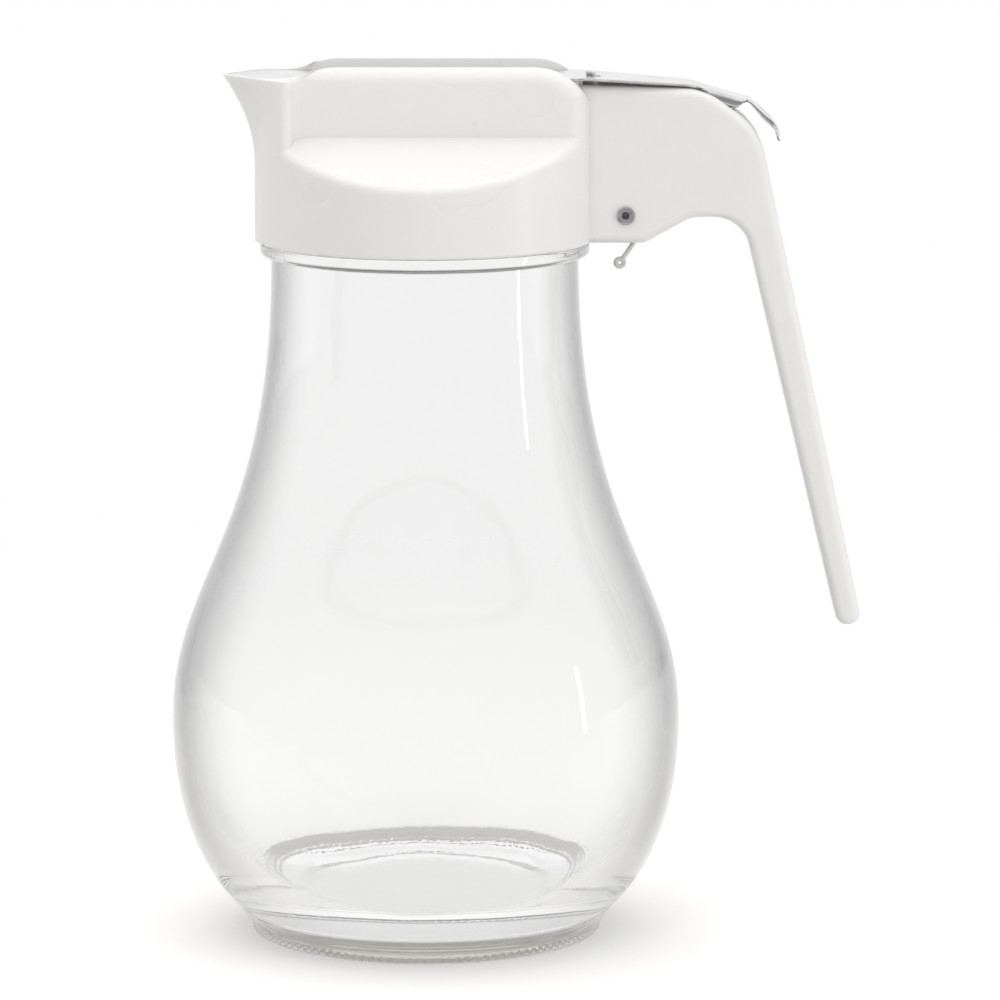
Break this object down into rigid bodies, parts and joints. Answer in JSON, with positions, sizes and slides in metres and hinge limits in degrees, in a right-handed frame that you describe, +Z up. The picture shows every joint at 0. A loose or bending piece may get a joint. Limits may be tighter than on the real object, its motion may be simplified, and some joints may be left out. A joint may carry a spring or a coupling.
{
  "type": "syrup dispenser",
  "caption": "Teardrop glass syrup dispenser with a screwed-on white pouring top, hanging grip and a spring-loaded steel thumb slide that shuts the spout.",
  "frame": {"origin": "centre of the jar's standing ring, on the floor", "axes": "+Z up along the jar's axis, -X towards the spout, +X towards the handle"},
  "size_m": [0.1762, 0.1304, 0.2236],
  "materials": {
    "glass": "clear pressed glass",
    "white_plastic": "smooth moulded, satin gloss",
    "stainless": "brushed sheet",
    "rivet": "plain",
    "wire": "bright wire"
  },
  "bodies": {
    "dispenser": {"jar": "glass", "lid": "white_plastic", "pivot_pin": "rivet", "return_spring": "wire"},
    "shutter": {"slide": "stainless"}
  },
  "joints": [
    {"name": "shutter_slide", "type": "slide", "parent": "dispenser", "child": "shutter", "axis": [1, 0, 0], "range_m": [0, 0.016], "stiffness_N_per_m": 150, "springref_m": -0.015, "deforming": ["return_spring"]}
  ]
}
